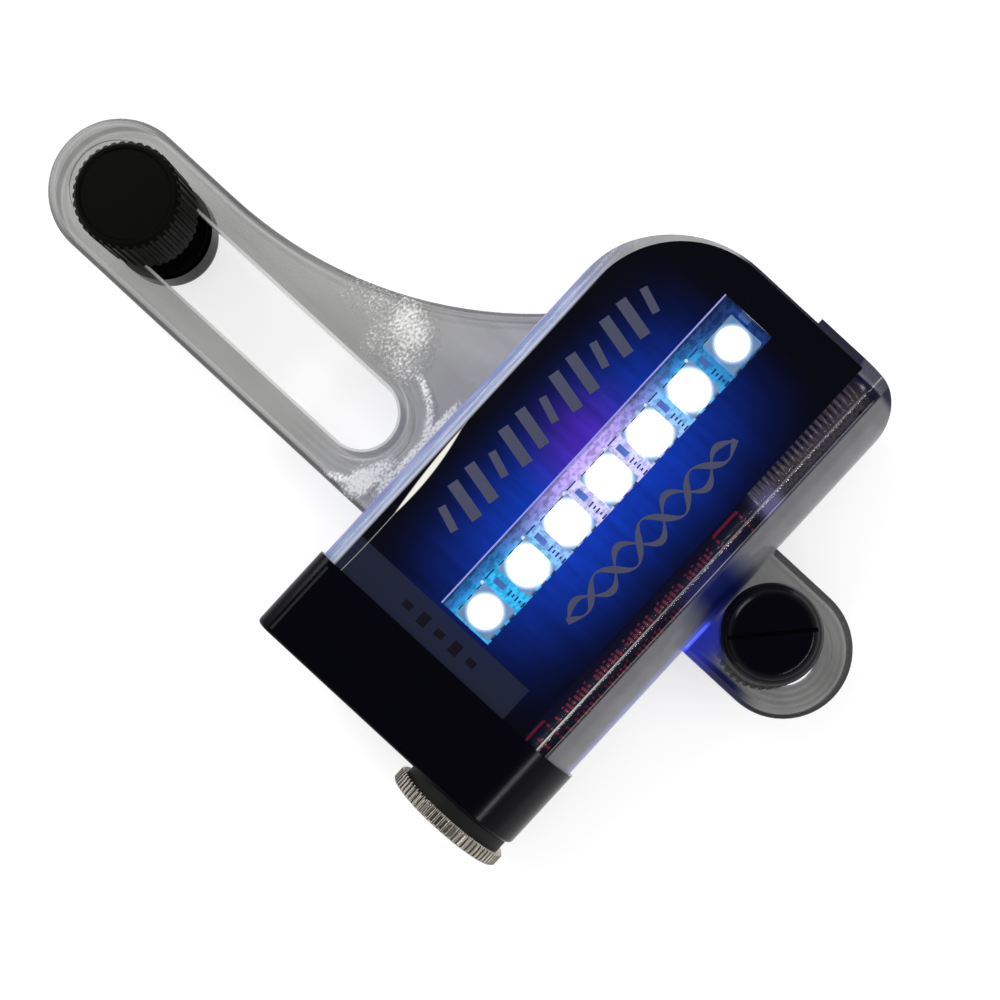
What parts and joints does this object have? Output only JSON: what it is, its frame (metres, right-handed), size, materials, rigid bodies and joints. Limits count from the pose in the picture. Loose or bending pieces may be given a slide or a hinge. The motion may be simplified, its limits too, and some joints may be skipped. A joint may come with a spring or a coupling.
{
  "type": "spoke wheel light",
  "caption": "Clear clip-on wheel light with a row of lamps, a battery tube with a knurled cap, and a slotted arm and a tab that clamp to spokes.",
  "frame": {"origin": "under the middle of the light's box, on the plane that it lies on", "axes": "+X from the slotted arm to the short tab, +Y from the knurled battery cap to the tube's closed end, +Z out of the front face"},
  "size_m": [0.1142, 0.0744, 0.0194],
  "materials": {
    "clear_plastic": "clear moulded, lightly hazed",
    "printed_film": "printed film, satin gloss",
    "black_plastic": "moulded, soft gloss",
    "black_nylon": "matt",
    "black_rubber": "matt",
    "nickel": "nickel plated",
    "knurled_nickel": "nickel plated, straight knurl",
    "spring_wire": "bright wire",
    "board": "white solder mask",
    "led_package": "white package",
    "led_light": "clear filling, lit",
    "chip_ceramic": "matt",
    "chip_black": "matt",
    "capacitor_body": "matt",
    "cell_can": "bright can",
    "cell_wrap": "printed wrap",
    "insulator": "card disc"
  },
  "bodies": {
    "case": {"housing": "clear_plastic", "label_front": "printed_film", "label_back": "printed_film", "end_cap": "black_plastic", "contact_sleeve": "nickel", "sleeve_strip": "nickel", "spring_contact": "nickel", "battery_spring": "spring_wire", "circuit_board": "board", "leds_front": "led_package", "leds_back": "led_package", "led_lenses_front": "led_light", "led_lenses_back": "led_light", "chip_resistors_front": "chip_ceramic", "chip_resistors_back": "chip_ceramic", "controller_chip": "chip_black", "controller_pins": "nickel", "boost_coil": "chip_ceramic", "storage_capacitor": "capacitor_body", "motion_switch": "nickel", "motion_switch_leads": "nickel"},
    "battery": {"battery_cell": "cell_can", "battery_wrap": "cell_wrap", "battery_insulator": "insulator"},
    "cap_seal": {"battery_cap_seal": "black_rubber"},
    "battery_cap": {"battery_cap": "knurled_nickel"},
    "outer_bush": {"outer_clamp_bush": "black_nylon"},
    "outer_bolt": {"outer_clamp_bolt": "black_plastic"},
    "outer_washer": {"outer_clamp_washer": "black_nylon"},
    "outer_nut": {"outer_thumb_nut": "black_plastic"},
    "inner_bush": {"inner_clamp_bush": "black_nylon"},
    "inner_bolt": {"inner_clamp_bolt": "black_plastic"},
    "inner_washer": {"inner_clamp_washer": "black_nylon"},
    "inner_nut": {"inner_thumb_nut": "black_plastic"}
  },
  "joints": [
    {"name": "battery_cap_travel", "type": "slide", "parent": "case", "child": "cap_seal", "axis": [0, -1, 0], "range_m": [0, 0.003]},
    {"name": "battery_cap_turn", "type": "hinge", "parent": "cap_seal", "child": "battery_cap", "pos_m": [0.0324, -0.0354, 0.0097], "axis": [0, -1, 0], "range_deg": [0, 1080]},
    {"name": "battery_follow", "type": "slide", "parent": "case", "child": "battery", "axis": [0, -1, 0], "range_m": [0, 0.003]},
    {"name": "outer_clamp_slide", "type": "slide", "parent": "case", "child": "outer_bush", "axis": [1, 0, 0], "range_m": [-0.0052, 0.0349]},
    {"name": "outer_bolt_turn", "type": "hinge", "parent": "outer_bush", "child": "outer_bolt", "pos_m": [-0.0431, -0.0074, 0.0097], "axis": [0, 0, 1], "continuous": true},
    {"name": "outer_nut_travel", "type": "slide", "parent": "outer_bolt", "child": "outer_washer", "axis": [0, 0, 1], "range_m": [0, 0.0016]},
    {"name": "outer_nut_turn", "type": "hinge", "parent": "outer_washer", "child": "outer_nut", "pos_m": [-0.0431, -0.0074, 0.0123], "axis": [0, 0, 1], "range_deg": [0, 720]},
    {"name": "inner_clamp_slide", "type": "slide", "parent": "case", "child": "inner_bush", "axis": [1, 0, 0], "range_m": [0, 0.0023]},
    {"name": "inner_bolt_turn", "type": "hinge", "parent": "inner_bush", "child": "inner_bolt", "pos_m": [0.04635, 0.00625, 0.0097], "axis": [0, 0, 1], "continuous": true},
    {"name": "inner_nut_travel", "type": "slide", "parent": "inner_bolt", "child": "inner_washer", "axis": [0, 0, -1], "range_m": [0, 0.0016]},
    {"name": "inner_nut_turn", "type": "hinge", "parent": "inner_washer", "child": "inner_nut", "pos_m": [0.04635, 0.00625, 0.0071], "axis": [0, 0, -1], "range_deg": [0, 720]}
  ],
  "couplings": [
    {"joint": "battery_cap_turn", "follows": "battery_cap_travel", "rad_per_m": 6283.2},
    {"joint": "battery_follow", "follows": "battery_cap_travel", "ratio": 1},
    {"joint": "outer_nut_turn", "follows": "outer_nut_travel", "rad_per_m": 7854},
    {"joint": "inner_nut_turn", "follows": "inner_nut_travel", "rad_per_m": 7854}
  ]
}
